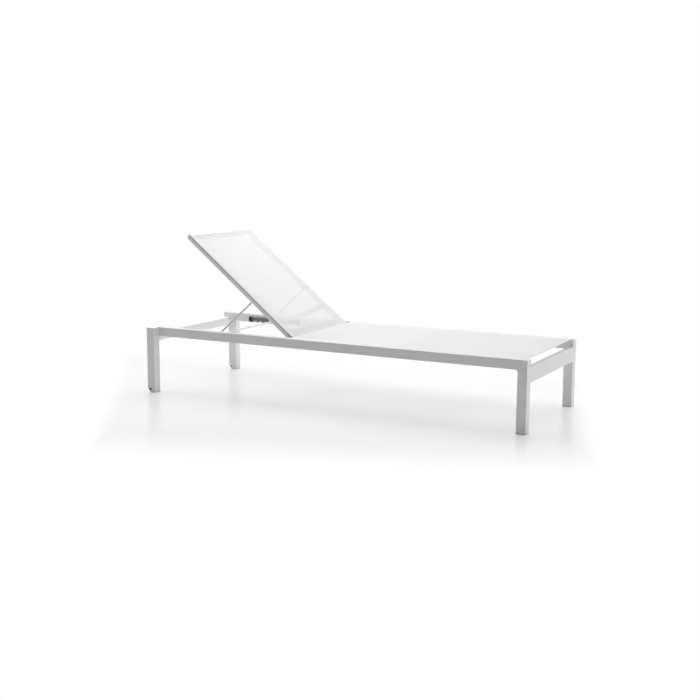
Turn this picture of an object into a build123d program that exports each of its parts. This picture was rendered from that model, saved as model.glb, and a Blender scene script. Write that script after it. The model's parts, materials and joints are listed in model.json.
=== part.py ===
from build123d import *
import math
import os

os.makedirs("parts", exist_ok=True)

# Sun lounger: a low four-legged frame with a tilting sling backrest on a toothed prop.
# Millimetres. +X runs from the head end to the foot end, +Z is up, the floor is z = 0,
# and the origin is on the floor under the middle of the frame. Right is a lying person's
# right, which is -Y. The backrest is modelled raised, as it rests on its prop.

# Driving sizes of the frame
frame_length = 2000.0
frame_width = 700.0
seat_height = 330.0
rail_width = 45.0
rail_height = 45.0
leg_side = 45.0
tube_wall = 2.0
cap_thickness = 2.0
corner_radius = 1.5
corner_weld_radius = 9.0

# Cross members of the frame
foot_cross_height = 70.0
foot_cross_depth = 25.0
foot_cross_above_rail_bottom = 9.0
head_cross_height = 43.0
head_cross_depth = 25.0
head_cross_inset = 10.0
spreader_height = 25.0
spreader_width = 30.0
spreader_above_rail_bottom = 2.0
hinge_spreader_behind_hinge = 60.0
middle_spreader_share = 0.52

# Sling and its edge cords
sling_thickness = 1.0
sling_clearance = 0.3
sling_edge_round = 0.8
edge_cord_diameter = 6.4
edge_bore_diameter = 7.6
edge_slot_width = 2.6
edge_bore_wall = 1.8
seat_bore_inset = 11.5
seat_bore_depth = 7.5
seat_lip_radius = 5.0
seat_sling_foot_inset = 14.0
seat_sling_head_gap = 24.0
plug_length = 14.0
plug_clearance = 0.3

# Backrest
back_length = 762.0
back_side_gap = 23.5
back_tube_width = 30.0
back_tube_height = 25.0
back_tube_radius = 3.0
back_tail = 13.0
back_rest_angle = 38.45
back_flat_gap = 0.7
hinge_from_head = 779.0
back_cross_width = 25.0
back_bottom_cross_start = 20.0
back_hem_drop = 8.5
back_bore_inset = 6.0
back_sling_overhang = 3.0
back_sling_tail = 10.0
back_hem_stop = 18.0
bowed_tube_diameter = 28.0
bowed_tube_wall = 1.5
bowed_tube_along = 159.0
bowed_tube_bow = 43.0
bowed_tube_drop = 5.5
bowed_tube_vent = 8.0
bowed_tube_overrun = 10.0

# Backrest hinge
hinge_bolt_diameter = 10.0
hinge_running_clearance = 0.05
hinge_bush_wall = 2.0
hinge_head_diameter = 18.0
hinge_head_thickness = 5.0
hinge_nut_diameter = 17.0
hinge_nut_thickness = 8.0
hinge_spacer_diameter = 20.0
side_clearance = 0.5

# Prop: a rod bail that hangs from the backrest and stands in two toothed racks
prop_along_back = 290.0
prop_arm_inset = 14.5
prop_arm_diameter = 10.0
prop_bar_diameter = 8.0
prop_bar_x_from_head = 331.0
prop_bar_above_teeth = 1.7
prop_eye_diameter = 18.0
prop_eye_width = 10.0
prop_bolt_diameter = 8.0
prop_running_clearance = 0.05
prop_spacer_diameter = 15.0
prop_head_diameter = 14.0
prop_head_thickness = 4.5
prop_nut_diameter = 13.0
prop_nut_thickness = 6.0
prop_pin_diameter = 5.0
prop_sleeve_length = 12.0

# Toothed racks on the inner faces of the side rails
rack_depth = 12.0
rack_wall = 2.0
rack_blade_thickness = 3.0
rack_bottom_above_rail = 1.0
rack_height = 28.5
rack_pitch = 35.0
rack_tooth_base = 24.0
rack_tooth_tip = 20.0
rack_tooth_height = 6.3
rack_teeth_count = 8
rack_teeth_before_rest_count = 4
rack_end_pocket = 27.0
rack_end_block = 16.0
rack_screw_diameter = 4.0
rack_screw_head = 8.0
rack_screw_head_thickness = 1.5
rack_screw_grip = 3.5
rack_screw_end_distance = 8.0
rack_counterbore_clearance = 0.5

# Head feet with their transport wheels
wheel_diameter = 24.0
wheel_width = 20.0
wheel_floor_gap = 4.5
wheel_tread = 2.5
wheel_center_from_head = 17.0
wheel_pin_diameter = 8.0
wheel_pin_cap_diameter = 12.0
wheel_pin_cap_thickness = 1.2
wheel_running_clearance = 0.05
wheel_side_gap = 1.0
leg_chamfer_x = 17.0
leg_chamfer_z = 20.0
head_foot_plate = 3.0
head_foot_cheek_height = 40.0
foot_glide_plate = 4.0
foot_glide_plug_height = 25.0
plug_fit_gap = 0.1

# Places worked out from the sizes
head_x = -frame_length / 2
foot_x = frame_length / 2
rail_outer_y = frame_width / 2
rail_inner_y = rail_outer_y - rail_width
rail_bottom_z = seat_height - rail_height
head_leg_inner_y = rail_outer_y
head_leg_outer_y = rail_outer_y + leg_side
foot_leg_outer_y = rail_outer_y
foot_leg_inner_y = rail_outer_y - leg_side
sling_top_z = seat_height
sling_bottom_z = sling_top_z - sling_thickness
lip_z = sling_bottom_z - sling_clearance
edge_cord_radius = edge_cord_diameter / 2
edge_bore_radius = edge_bore_diameter / 2
seat_bore_y = rail_inner_y + seat_bore_inset
seat_bore_z = seat_height - seat_bore_depth

hinge_x = head_x + hinge_from_head
hinge_z = lip_z - back_tube_height / 2
hinge_nut_y = seat_bore_y + edge_bore_radius + edge_bore_wall
back_outer_y = rail_inner_y - back_side_gap
back_inner_y = back_outer_y - back_tube_width
back_bottom_z = hinge_z - back_tube_height / 2
back_top_z = hinge_z + back_tube_height / 2
back_top_x = hinge_x - back_length
hem_recess = sling_thickness + sling_clearance
hem_bottom_z = back_top_z - back_hem_drop
back_bore_y = back_outer_y - hem_recess - back_bore_inset
back_bore_z = hem_bottom_z + edge_slot_width / 2
head_cross_top = back_bottom_z - back_flat_gap
head_cross_bottom = head_cross_top - head_cross_height
head_cross_x0 = head_x + head_cross_inset
head_cross_x1 = head_cross_x0 + head_cross_depth
foot_cross_top = rail_bottom_z + foot_cross_above_rail_bottom
foot_cross_bottom = foot_cross_top - foot_cross_height

rest_radians = math.radians(back_rest_angle)
prop_pivot_x = hinge_x - prop_along_back * math.cos(rest_radians)
prop_pivot_z = hinge_z + prop_along_back * math.sin(rest_radians)
prop_bar_x = head_x + prop_bar_x_from_head
prop_arm_y = back_inner_y - prop_arm_inset
prop_pin_y = rail_inner_y - rack_wall - rack_screw_head_thickness - side_clearance

rack_face_y = rail_inner_y - rack_depth
rack_bottom_z = rail_bottom_z + rack_bottom_above_rail
rack_top_z = rack_bottom_z + rack_height
rack_floor_z = rack_bottom_z + rack_wall
rack_tip_z = rack_floor_z + rack_tooth_height
prop_bar_z = rack_tip_z + prop_bar_above_teeth + prop_bar_diameter / 2
rack_valley = rack_pitch - rack_tooth_base
rest_valley_x = prop_bar_x + rack_valley / 2 - prop_bar_diameter / 2 - side_clearance
first_tooth_x = rest_valley_x + rack_pitch / 2 - rack_pitch * rack_teeth_before_rest_count
rack_x0 = first_tooth_x - rack_tooth_base / 2 - rack_end_pocket
rack_x1 = first_tooth_x + rack_pitch * rack_teeth_count

wheel_center_x = head_x + wheel_center_from_head
wheel_center_z = wheel_diameter / 2 + wheel_floor_gap
head_leg_center_y = (head_leg_inner_y + head_leg_outer_y) / 2

parts = {}


def block(x0, x1, y0, y1, z0, z1):
    """A box between two corners."""
    size = (abs(x1 - x0), abs(y1 - y0), abs(z1 - z0))
    return Pos((x0 + x1) / 2, (y0 + y1) / 2, (z0 + z1) / 2) * Box(*size)


def rod_along_y(radius, x, z, y0, y1):
    """A round bar parallel to Y between two places."""
    start = Plane(origin=(x, min(y0, y1), z), x_dir=(1, 0, 0), z_dir=(0, 1, 0))
    return Solid.make_cylinder(radius, abs(y1 - y0), start)


def rod_between(radius, start, end):
    """A round bar between two points."""
    direction = Vector(*end) - Vector(*start)
    plane = Plane(origin=start, z_dir=direction)
    return Solid.make_cylinder(radius, direction.length, plane)


def square_tube(x0, x1, y0, y1, z0, z1, along, wall=tube_wall, radius=corner_radius):
    """A hollow square-cornered tube that fills a box and is open at both ends along one axis."""
    outer = block(x0, x1, y0, y1, z0, z1)
    outer = fillet(outer.edges().filter_by(along), radius)
    inset = {Axis.X: (0, wall, wall), Axis.Y: (wall, 0, wall), Axis.Z: (wall, wall, 0)}[along]
    dx, dy, dz = inset
    return outer - block(x0 + dx, x1 - dx, y0 + dy, y1 - dy, z0 + dz, z1 - dz)


def raised(shape):
    """Turns a piece of the flat backrest up to its rest angle about the hinge."""
    axis = Axis((hinge_x, 0, hinge_z), (0, 1, 0))
    return shape.rotate(axis, back_rest_angle)


def pair(name, right):
    """Keeps a right-hand piece and its mirror image on the left."""
    parts["right_" + name] = right
    parts["left_" + name] = mirror(right, about=Plane.XZ)


def section_extruded(section, x0, x1):
    """Extrudes a section drawn in Y and Z along X."""
    return extrude(Plane.YZ.offset(x0) * section, amount=x1 - x0)


def face_between(y0, y1, z0, z1):
    """A rectangle in the section plane, whose first axis is Y and second is Z."""
    return Pos((y0 + y1) / 2, (z0 + z1) / 2) * Rectangle(abs(y1 - y0), abs(z1 - z0))


# Side rails


def rail_section():
    """The right rail's section: a tube with a cord bore under its inner top edge."""
    bore = Pos(-seat_bore_y, seat_bore_z) * Circle(edge_bore_radius)
    slot_left = -seat_bore_y - edge_slot_width / 2
    slot = face_between(slot_left, slot_left + edge_slot_width, seat_bore_z, seat_height)
    lip_cut = face_between(slot_left, -rail_inner_y, lip_z, seat_height)
    outer = face_between(-rail_outer_y, -rail_inner_y, rail_bottom_z, seat_height)
    plain = outer.vertices().filter_by(lambda v: v.X < -rail_inner_y - tube_wall)
    outer = fillet(plain, corner_radius) - lip_cut
    lip_corner = outer.vertices().filter_by(
        lambda v: v.X > -rail_inner_y - tube_wall / 2 and v.Y > seat_bore_z
    )
    outer = fillet(lip_corner, seat_lip_radius)
    cavity_y0, cavity_y1 = -rail_outer_y + tube_wall, -rail_inner_y - tube_wall
    cavity = face_between(cavity_y0, cavity_y1, rail_bottom_z + tube_wall, seat_height - tube_wall)
    boss_reach = edge_bore_radius + edge_bore_wall
    boss = face_between(-seat_bore_y - boss_reach, -rail_inner_y, seat_bore_z - boss_reach, seat_height)
    return outer - (cavity - boss) - bore - slot


def side_rail():
    """The right rail, notched over the head cross rail and drilled for the hinge bolt."""
    rail = section_extruded(rail_section(), head_x + cap_thickness, foot_x - cap_thickness)
    y0, y1 = -rail_outer_y, -rail_inner_y
    notch = block(head_cross_x0, head_cross_x1, y0, y1, rail_bottom_z, head_cross_top)
    bolt_way = rod_along_y(hinge_bolt_diameter / 2, hinge_x, hinge_z, -hinge_nut_y, y1)
    return rail - notch - bolt_way - rack_screw_ways(y1 - rack_screw_grip, y1)


def rail_cap(x0):
    """A closing plate on a rail's end."""
    plate = block(x0, x0 + cap_thickness, -rail_outer_y, -rail_inner_y, rail_bottom_z, seat_height)
    inner_top = plate.edges().filter_by(Axis.X).sort_by(Axis.Y)[-2:].sort_by(Axis.Z)[-1]
    return fillet(inner_top, seat_lip_radius)


# Legs, their caps and feet


def foot_leg():
    """The right foot leg, welded under the rail with a small round in the inner corner."""
    x0, x1 = foot_x - leg_side, foot_x
    y0, y1 = -foot_leg_outer_y, -foot_leg_inner_y
    leg = square_tube(x0, x1, y0, y1, foot_glide_plate, rail_bottom_z, Axis.Z)
    round_x, round_z = x0 - corner_weld_radius, rail_bottom_z - corner_weld_radius
    corner = block(round_x, x0, y0, y1, round_z, rail_bottom_z)
    round_cut = rod_along_y(corner_weld_radius, round_x, round_z, y0, y1)
    return leg + (corner - round_cut)


def foot_glide():
    """A pale glide plugged into the foot leg's lower end."""
    x0, x1 = foot_x - leg_side, foot_x
    y0, y1 = -foot_leg_outer_y, -foot_leg_inner_y
    plate = block(x0, x1, y0, y1, 0, foot_glide_plate)
    plate = fillet(plate.edges().filter_by(Axis.Z), corner_radius)
    inset = tube_wall + plug_fit_gap
    plug_top = foot_glide_plate + foot_glide_plug_height
    return plate + block(x0 + inset, x1 - inset, y0 + inset, y1 - inset, foot_glide_plate, plug_top)


def chamfer_wedge(y0, y1):
    """The corner taken off a head leg so that it can tip onto its wheel."""
    with BuildPart() as wedge:
        with BuildSketch(Plane.XZ.offset(-max(y0, y1))):
            with BuildLine():
                Polyline(
                    (head_x - leg_chamfer_x, leg_chamfer_z + leg_chamfer_z),
                    (head_x + leg_chamfer_x + leg_chamfer_x, -leg_chamfer_z),
                    (head_x - leg_chamfer_x, -leg_chamfer_z),
                    close=True,
                )
            make_face()
        extrude(amount=abs(y1 - y0))
    return wedge.part


def head_leg():
    """The right head leg, which stands outside the rail, with its wheel corner cut off."""
    x0, x1 = head_x, head_x + leg_side
    y0, y1 = -head_leg_outer_y, -head_leg_inner_y
    leg = square_tube(x0, x1, y0, y1, head_foot_plate, seat_height - cap_thickness, Axis.Z)
    pin_way = rod_along_y(wheel_pin_diameter / 2, wheel_center_x, wheel_center_z, y0, y1)
    return leg - chamfer_wedge(y0, y1) - pin_way


def head_leg_cap():
    """The closing plate on top of a head leg."""
    x0, x1 = head_x, head_x + leg_side
    y0, y1 = -head_leg_outer_y, -head_leg_inner_y
    plate = block(x0, x1, y0, y1, seat_height - cap_thickness, seat_height)
    return fillet(plate.edges().filter_by(Axis.Z), corner_radius)


def head_foot():
    """A pale foot: a tread plate and two cheeks inside the leg that hold the wheel's pin."""
    x0, x1 = head_x, head_x + leg_side
    y0, y1 = -head_leg_outer_y, -head_leg_inner_y
    plate = block(x0, x1, y0, y1, 0, head_foot_plate)
    plate = fillet(plate.edges().filter_by(Axis.Z), corner_radius)
    inset = tube_wall + plug_fit_gap
    top_z = head_foot_cheek_height
    inside = block(x0 + inset, x1 - inset, y0 + inset, y1 - inset, head_foot_plate, top_z)
    half_gap = wheel_width / 2 + wheel_side_gap
    well_x1 = wheel_center_x + wheel_diameter / 2 + wheel_side_gap
    well = block(x0, well_x1, -head_leg_center_y - half_gap, -head_leg_center_y + half_gap, 0, top_z)
    pin_way = rod_along_y(wheel_pin_diameter / 2, wheel_center_x, wheel_center_z, y0, y1)
    return plate + inside - well - chamfer_wedge(y0, y1) - pin_way


def wheel():
    """A small transport wheel with a bored hub and a crowned tread."""
    half = wheel_width / 2
    y0, y1 = -head_leg_center_y - half, -head_leg_center_y + half
    disc = rod_along_y(wheel_diameter / 2, wheel_center_x, wheel_center_z, y0, y1)
    disc = fillet(disc.edges(), wheel_tread)
    bore_radius = wheel_pin_diameter / 2 + wheel_running_clearance
    return disc - rod_along_y(bore_radius, wheel_center_x, wheel_center_z, y0, y1)


def wheel_pin():
    """The wheel's pin, with a round cap on the leg's outer face."""
    x, z = wheel_center_x, wheel_center_z
    outer_y = -head_leg_outer_y
    pin = rod_along_y(wheel_pin_diameter / 2, x, z, outer_y, -head_leg_inner_y)
    cap = rod_along_y(wheel_pin_cap_diameter / 2, x, z, outer_y - wheel_pin_cap_thickness, outer_y)
    return pin + cap


# Toothed racks and their housings


def rack_housing():
    """A dark channel screwed to the rail's inner face, open towards the middle, solid at its head end."""
    back_y, face_y = -rail_inner_y, -rack_face_y
    outer = block(rack_x0, rack_x1, back_y, face_y, rack_bottom_z, rack_top_z)
    inside_x0, inside_x1 = rack_x0 + rack_end_block, rack_x1 - rack_wall
    inside = block(inside_x0, inside_x1, back_y + rack_wall, face_y, rack_floor_z, rack_top_z - rack_wall)
    blade_y = face_y - rack_blade_thickness
    blade_seat = block(rack_x0, rack_x1, blade_y, face_y, rack_bottom_z, rack_floor_z)
    head_x, head_z = rack_screw_places()[0]
    counterbore_radius = rack_screw_head / 2 + rack_counterbore_clearance
    counterbore = rod_along_y(counterbore_radius, head_x, head_z, back_y + rack_wall, face_y)
    return outer - inside - blade_seat - counterbore - rack_screw_ways(back_y, back_y + rack_wall)


def rack_screw_places():
    """The two screws of a housing, one near each end."""
    screw_z = (rack_floor_z + rack_top_z) / 2
    return [(rack_x0 + rack_screw_end_distance, screw_z), (rack_x1 - rack_screw_end_distance, screw_z)]


def rack_screw_ways(y0, y1):
    """Holes for the right rack's screws between two places across the frame."""
    return Compound([rod_along_y(rack_screw_diameter / 2, x, z, y0, y1) for x, z in rack_screw_places()])


def rack_screws():
    """The right rack's screws, with low heads inside the housing."""
    screws = []
    for x, z in rack_screw_places():
        head_y = -rail_inner_y + rack_wall
        shank = rod_along_y(rack_screw_diameter / 2, x, z, -rail_inner_y - rack_screw_grip, head_y)
        head = rod_along_y(rack_screw_head / 2, x, z, head_y, head_y + rack_screw_head_thickness)
        screws.append(shank + head)
    return screws


def rack_blade():
    """The toothed strip along the lower edge of a housing."""
    y0, y1 = -rack_face_y - rack_blade_thickness, -rack_face_y
    base = block(rack_x0, rack_x1, y0, y1, rack_bottom_z, rack_floor_z)
    teeth = []
    for number in range(rack_teeth_count):
        center = first_tooth_x + rack_pitch * number
        right_x = center + rack_tooth_base / 2
        left_x = center - rack_tooth_base / 2
        with BuildPart() as tooth:
            with BuildSketch(Plane.XZ.offset(-y1)):
                with BuildLine():
                    Polyline(
                        (left_x, rack_floor_z),
                        (right_x - rack_tooth_tip, rack_tip_z),
                        (right_x, rack_tip_z),
                        (right_x, rack_floor_z),
                        close=True,
                    )
                make_face()
            extrude(amount=rack_blade_thickness)
        teeth.append(tooth.part)
    return base.fuse(*teeth)


# Sling of the seat


def seat_sling_span():
    """Where the seat sling starts and ends along the rails."""
    return hinge_x + seat_sling_head_gap, foot_x - seat_sling_foot_inset


def seat_sling():
    """A taut sheet whose edges turn down into the rails' slots."""
    x0, x1 = seat_sling_span()
    half = seat_bore_y + sling_thickness / 2
    sheet = block(x0, x1, -half, half, sling_bottom_z, sling_top_z)
    hem_bottom = seat_bore_z + edge_cord_radius + sling_clearance
    right_hem = block(x0, x1, -half, -half + sling_thickness, hem_bottom, sling_bottom_z)
    left_hem = block(x0, x1, half - sling_thickness, half, hem_bottom, sling_bottom_z)
    return sheet + right_hem + left_hem


def seat_edge_cord():
    """The cord in the sling's hem that keeps it in the rail's bore."""
    x0, x1 = seat_sling_span()
    y, z = -seat_bore_y, seat_bore_z
    return rod_between(edge_cord_radius, (x0, y, z), (x1, y, z))


def channel_plugs():
    """Four stops that close the rail bores at the ends of the seat sling."""
    x0, x1 = seat_sling_span()
    plugs = []
    radius = edge_bore_radius - plug_clearance
    neck = edge_slot_width / 2 - plug_clearance
    starts = (x0 - plug_length - plug_clearance, x1 + plug_clearance)
    lengths = (plug_length, foot_x - cap_thickness - x1 - plug_clearance - plug_clearance)
    for start, length in zip(starts, lengths):
        for side in (-1, 1):
            y = side * seat_bore_y
            bore_part = rod_between(radius, (start, y, seat_bore_z), (start + length, y, seat_bore_z))
            neck_part = block(start, start + length, y - neck, y + neck, seat_bore_z, lip_z)
            plugs.append(bore_part + neck_part)
    return plugs


# Backrest, drawn flat and then raised


def back_outline():
    """The right backrest tube's outline, set back along its outer top edge for the sling."""
    outer = face_between(-back_outer_y, -back_inner_y, back_bottom_z, back_top_z)
    outer = fillet(outer.vertices(), back_tube_radius)
    return outer - face_between(-back_outer_y, -back_outer_y + hem_recess, hem_bottom_z, back_top_z)


def back_section():
    """The right backrest tube's section: a tube with a cord bore behind its outer face."""
    bore = Pos(-back_bore_y, back_bore_z) * Circle(edge_bore_radius)
    half_slot = edge_slot_width / 2
    slot = face_between(-back_outer_y, -back_bore_y, back_bore_z - half_slot, back_bore_z + half_slot)
    cavity_y0, cavity_y1 = -back_outer_y + hem_recess + tube_wall, -back_inner_y - tube_wall
    cavity = face_between(cavity_y0, cavity_y1, back_bottom_z + tube_wall, back_top_z - tube_wall)
    reach = edge_bore_radius + edge_bore_wall
    boss = face_between(-back_outer_y, -back_bore_y + reach, back_bore_z - reach, back_top_z)
    return back_outline() - (cavity - boss) - bore - slot


def back_side_tube():
    """The right side tube of the backrest, drilled for the hinge bush and the prop bolt."""
    x0, x1 = back_top_x + cap_thickness, hinge_x + back_tail - cap_thickness
    tube = section_extruded(back_section(), x0, x1)
    bush_radius = hinge_bolt_diameter / 2 + hinge_running_clearance + hinge_bush_wall
    bush_way = rod_along_y(bush_radius, hinge_x, hinge_z, -back_outer_y, -back_inner_y)
    middle_y = -back_inner_y - back_tube_width / 2
    bolt_x = hinge_x - prop_along_back
    bolt_way = rod_along_y(prop_bolt_diameter / 2, bolt_x, hinge_z, middle_y, -back_inner_y)
    return raised(tube - bush_way - bolt_way)


def back_cap(x0):
    """A closing plate on a backrest tube's end, with the tube's outline."""
    return raised(section_extruded(back_outline(), x0, x0 + cap_thickness))


def back_cross_tube(x0):
    """A straight tube between the backrest's side tubes."""
    box = (x0, x0 + back_cross_width, -back_inner_y, back_inner_y, back_bottom_z, back_top_z)
    return raised(square_tube(*box, Axis.Y, radius=back_tube_radius))


def bowed_tube():
    """The tube that bows away behind the sling, its closed ends welded between the side tubes."""
    x = hinge_x - bowed_tube_along
    end_z = hinge_z - bowed_tube_drop
    low_z = end_z - bowed_tube_bow
    arc_radius = (back_inner_y**2 + bowed_tube_bow**2) / (2 * bowed_tube_bow)
    far_y = back_inner_y + bowed_tube_overrun
    far_z = low_z + arc_radius - math.sqrt(arc_radius**2 - far_y**2)
    path = ThreePointArc((x, -far_y, far_z), (x, 0, low_z), (x, far_y, far_z))
    start = Plane(origin=path @ 0, z_dir=path % 0)
    outer = sweep(start * Circle(bowed_tube_diameter / 2), path=path)
    inner = sweep(start * Circle(bowed_tube_diameter / 2 - bowed_tube_wall), path=path)
    x0, x1 = x - bowed_tube_diameter, x + bowed_tube_diameter
    z0, z1 = low_z - bowed_tube_diameter, far_z + bowed_tube_diameter
    closed_y = back_inner_y - bowed_tube_wall
    between = block(x0, x1, -back_inner_y, back_inner_y, z0, z1)
    hollow = inner & block(x0, x1, -closed_y, closed_y, z0, z1)
    vent = rod_along_y(bowed_tube_vent / 2, x, end_z, closed_y - bowed_tube_wall, back_inner_y)
    return raised((outer & between) - hollow - vent - mirror(vent, about=Plane.XZ))


def back_sling():
    """A taut sheet that wraps over the side tubes into the bores in their outer faces."""
    x0, x1 = back_top_x - back_sling_overhang, hinge_x + back_sling_tail
    sheet = block(x0, x1, -back_outer_y, back_outer_y, sling_bottom_z, sling_top_z)
    sheet = fillet(sheet.edges().filter_by(Axis.X).group_by(Axis.Z)[-1], sling_edge_round)
    hem_x1 = hinge_x - back_hem_stop
    turn_z = back_bore_z - sling_thickness / 2
    cord_edge_y = -back_bore_y - edge_cord_radius - sling_clearance
    hem = block(x0, hem_x1, -back_outer_y, -back_outer_y + sling_thickness, turn_z, sling_bottom_z)
    turn_x0 = back_top_x + cap_thickness + sling_clearance
    turn = block(turn_x0, hem_x1, -back_outer_y, cord_edge_y, turn_z, turn_z + sling_thickness)
    wrap = hem + turn
    return raised(sheet + wrap + mirror(wrap, about=Plane.XZ))


def back_edge_cord():
    """The cord in the backrest sling's hem."""
    x0, x1 = back_top_x + cap_thickness, hinge_x - back_hem_stop
    y, z = -back_bore_y, back_bore_z
    return raised(rod_between(edge_cord_radius, (x0, y, z), (x1, y, z)))


# Hinge of the backrest


def hinge_bolt():
    """The hinge bolt, from its nut inside the rail to its head inside the backrest."""
    nut_y = -hinge_nut_y
    head_y = -back_inner_y + side_clearance
    shank = rod_along_y(hinge_bolt_diameter / 2, hinge_x, hinge_z, nut_y - hinge_nut_thickness, head_y)
    nut = rod_along_y(hinge_nut_diameter / 2, hinge_x, hinge_z, nut_y - hinge_nut_thickness, nut_y)
    head = rod_along_y(hinge_head_diameter / 2, hinge_x, hinge_z, head_y, head_y + hinge_head_thickness)
    return shank + nut + head


def hinge_spacer():
    """A black spacer on the bolt between the rail and the backrest."""
    y0, y1 = -rail_inner_y, -back_outer_y - side_clearance
    outer = rod_along_y(hinge_spacer_diameter / 2, hinge_x, hinge_z, y0, y1)
    return outer - rod_along_y(hinge_bolt_diameter / 2, hinge_x, hinge_z, y0, y1)


def hinge_bush():
    """The plain bush in the backrest tube that turns on the bolt."""
    bore_radius = hinge_bolt_diameter / 2 + hinge_running_clearance
    y0, y1 = -back_outer_y, -back_inner_y
    bush = rod_along_y(bore_radius + hinge_bush_wall, hinge_x, hinge_z, y0, y1)
    return raised(bush - rod_along_y(bore_radius, hinge_x, hinge_z, y0, y1))


# Prop


def prop_bar():
    """The bar across the foot of the prop, with a pin at each end."""
    bar_y = prop_pin_y - prop_sleeve_length
    bar = rod_along_y(prop_bar_diameter / 2, prop_bar_x, prop_bar_z, -bar_y, bar_y)
    return bar + rod_along_y(prop_pin_diameter / 2, prop_bar_x, prop_bar_z, -prop_pin_y, prop_pin_y)


def prop_sleeve():
    """A black sleeve on the bar's pin, which stands in the rack."""
    y0, y1 = -prop_pin_y, -prop_pin_y + prop_sleeve_length
    sleeve = rod_along_y(prop_bar_diameter / 2, prop_bar_x, prop_bar_z, y0, y1)
    return sleeve - rod_along_y(prop_pin_diameter / 2, prop_bar_x, prop_bar_z, y0, y1)


def prop_arm():
    """The right arm of the prop: a rod from the bar to an eye on the backrest."""
    x, y, z = prop_pivot_x, -prop_arm_y, prop_pivot_z
    y0, y1 = y - prop_eye_width / 2, y + prop_eye_width / 2
    eye = rod_along_y(prop_eye_diameter / 2, x, z, y0, y1)
    rod = rod_between(prop_arm_diameter / 2, (prop_bar_x, y, prop_bar_z), (x, y, z))
    bore = rod_along_y(prop_bolt_diameter / 2 + prop_running_clearance, x, z, y0, y1)
    bar = rod_along_y(prop_bar_diameter / 2, prop_bar_x, prop_bar_z, y0, y1)
    return eye + rod - bore - bar


def prop_bolt():
    """The bolt of the prop's eye, with its nut inside the backrest tube."""
    x, z = prop_pivot_x, prop_pivot_z
    nut_y = -back_inner_y - tube_wall
    head_y = -prop_arm_y + prop_eye_width / 2 + side_clearance
    shank = rod_along_y(prop_bolt_diameter / 2, x, z, nut_y - prop_nut_thickness, head_y)
    nut = rod_along_y(prop_nut_diameter / 2, x, z, nut_y - prop_nut_thickness, nut_y)
    head = rod_along_y(prop_head_diameter / 2, x, z, head_y, head_y + prop_head_thickness)
    return shank + nut + head


def prop_spacer():
    """The spacer between the backrest tube and the prop's eye."""
    x, z = prop_pivot_x, prop_pivot_z
    y0, y1 = -back_inner_y, -prop_arm_y - prop_eye_width / 2 - side_clearance
    outer = rod_along_y(prop_spacer_diameter / 2, x, z, y0, y1)
    return outer - rod_along_y(prop_bolt_diameter / 2, x, z, y0, y1)


# Every piece in its own node
pair("side_rail", side_rail())
pair("rail_head_cap", rail_cap(head_x))
pair("rail_foot_cap", rail_cap(foot_x - cap_thickness))
pair("head_leg", head_leg())
pair("head_leg_cap", head_leg_cap())
pair("head_foot", head_foot())
pair("wheel", wheel())
pair("wheel_pin", wheel_pin())
pair("foot_leg", foot_leg())
pair("foot_glide", foot_glide())
pair("rack_housing", rack_housing())
pair("rack", rack_blade())
pair("seat_edge_cord", seat_edge_cord())
pair("hinge_bolt", hinge_bolt())
pair("hinge_spacer", hinge_spacer())
pair("hinge_bush", hinge_bush())
pair("back_side_tube", back_side_tube())
pair("back_top_cap", back_cap(back_top_x))
pair("back_tail_cap", back_cap(hinge_x + back_tail - cap_thickness))
pair("back_edge_cord", back_edge_cord())
pair("prop_arm", prop_arm())
pair("prop_bolt", prop_bolt())
pair("prop_spacer", prop_spacer())
pair("prop_sleeve", prop_sleeve())

# Cross members: name, start along X, depth, half length, and the heights of its two faces
foot_cross_x0 = foot_x - foot_cross_depth
hinge_spreader_x = hinge_x + hinge_spreader_behind_hinge
middle_spreader_x = hinge_x + (foot_x - hinge_x) * middle_spreader_share
spreader_z0 = rail_bottom_z + spreader_above_rail_bottom
spreader_z1 = spreader_z0 + spreader_height
cross_members = [
    ("head_cross_rail", head_cross_x0, head_cross_depth, head_leg_inner_y, head_cross_bottom, head_cross_top),
    ("foot_cross_rail", foot_cross_x0, foot_cross_depth, foot_leg_inner_y, foot_cross_bottom, foot_cross_top),
]
for name, middle_x in (("hinge_spreader", hinge_spreader_x), ("middle_spreader", middle_spreader_x)):
    x0 = middle_x - spreader_width / 2
    cross_members.append((name, x0, spreader_width, rail_inner_y, spreader_z0, spreader_z1))
for name, x0, depth, half_length, z0, z1 in cross_members:
    parts[name] = square_tube(x0, x0 + depth, -half_length, half_length, z0, z1, Axis.Y)

right_screws = rack_screws()
left_screws = [mirror(screw, about=Plane.XZ) for screw in right_screws]
parts["rack_screws"] = Compound(right_screws + left_screws)
parts["channel_plugs"] = Compound(channel_plugs())
parts["seat_sling"] = seat_sling()
parts["back_top_tube"] = back_cross_tube(back_top_x + cap_thickness)
parts["back_bottom_tube"] = back_cross_tube(hinge_x - back_bottom_cross_start - back_cross_width)
parts["back_bowed_tube"] = bowed_tube()
parts["back_sling"] = back_sling()
parts["prop_bar"] = prop_bar()

for name, shape in parts.items():
    export_step(shape, "parts/" + name + ".step")
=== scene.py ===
import json
import math
import random

import bpy
from mathutils import Matrix, Vector


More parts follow.
